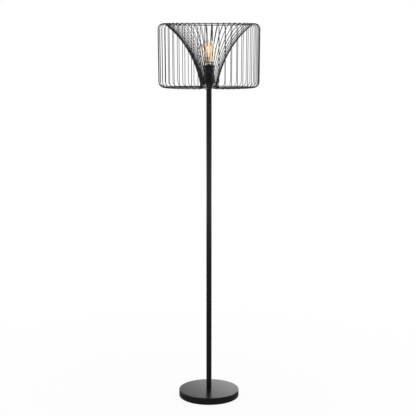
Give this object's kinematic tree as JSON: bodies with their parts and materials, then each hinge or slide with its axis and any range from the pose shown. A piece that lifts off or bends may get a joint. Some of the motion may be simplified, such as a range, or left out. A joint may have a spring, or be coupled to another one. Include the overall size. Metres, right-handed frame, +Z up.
{
  "type": "wire cage floor lamp",
  "caption": "Floor lamp with a straight pole on a round base and a wire cage shade whose wires dip to the lampholder in a funnel around the bulb.",
  "frame": {"origin": "middle of the foot, on the floor", "axes": "+Z up along the pole, -Y to the front, gland for the lead at +Y"},
  "size_m": [0.4094, 0.4094, 1.545],
  "materials": {
    "black_steel": "matt black powder coat",
    "felt": "felt",
    "cast_weight": "rough cast",
    "zinc_steel": "zinc plated",
    "black_nylon": "moulded",
    "black_plastic": "satin moulded",
    "porcelain": "unglazed ceramic",
    "brass": "bright",
    "bulb_brass": "bright",
    "black_glass": "glossy",
    "solder": "satin",
    "bulb_glass": "clear amber",
    "clear_glass": "clear",
    "filament": "glowing",
    "lead_wire": "bright"
  },
  "bodies": {
    "lamp": {"base_pad": "felt", "base_cover": "black_steel", "base_weight": "cast_weight", "base_washer": "zinc_steel", "lock_washer": "zinc_steel", "base_nut": "zinc_steel", "bottom_nipple": "zinc_steel", "cord_gland": "black_nylon", "bottom_insert": "zinc_steel", "lower_tube": "black_steel", "middle_tube": "black_steel", "upper_tube": "black_steel", "joint_sockets": "zinc_steel", "joint_studs": "zinc_steel", "top_insert": "zinc_steel", "top_nipple": "zinc_steel", "pole_cup": "black_steel", "fitter_plate": "black_steel", "top_ring": "black_steel", "cage_wires_01": "black_steel", "cage_wires_02": "black_steel", "cage_wires_03": "black_steel", "cage_wires_04": "black_steel", "cage_wires_05": "black_steel", "cage_wires_06": "black_steel", "cage_wires_07": "black_steel", "cage_wires_08": "black_steel", "cage_wires_09": "black_steel", "cage_wires_10": "black_steel", "cage_wires_11": "black_steel", "cage_wires_12": "black_steel", "holder_cap": "black_plastic", "holder_skirt": "black_plastic", "ceramic_insert": "porcelain", "screw_shell": "brass", "contact_spring": "zinc_steel", "terminal_blocks": "brass", "terminal_screws": "zinc_steel", "grub_screw": "zinc_steel"},
    "contact": {"centre_contact": "brass"},
    "bulb": {"bulb_glass": "bulb_glass", "bulb_cap": "bulb_brass", "bulb_insulator": "black_glass", "bulb_eyelet": "solder", "bulb_stem": "clear_glass", "bulb_filaments": "filament", "bulb_supports": "lead_wire"}
  },
  "joints": [
    {"name": "contact_lift", "type": "slide", "parent": "lamp", "child": "contact", "axis": [0, 0, 1], "range_m": [0, 0.003], "deforming": ["contact_spring"]},
    {"name": "bulb_turn", "type": "hinge", "parent": "contact", "child": "bulb", "pos_m": [0, 0, 1.355], "axis": [0, 0, 1], "range_deg": [0, 297]}
  ],
  "couplings": [
    {"joint": "contact_lift", "follows": "bulb_turn", "m_per_rad": 0.00057757}
  ]
}
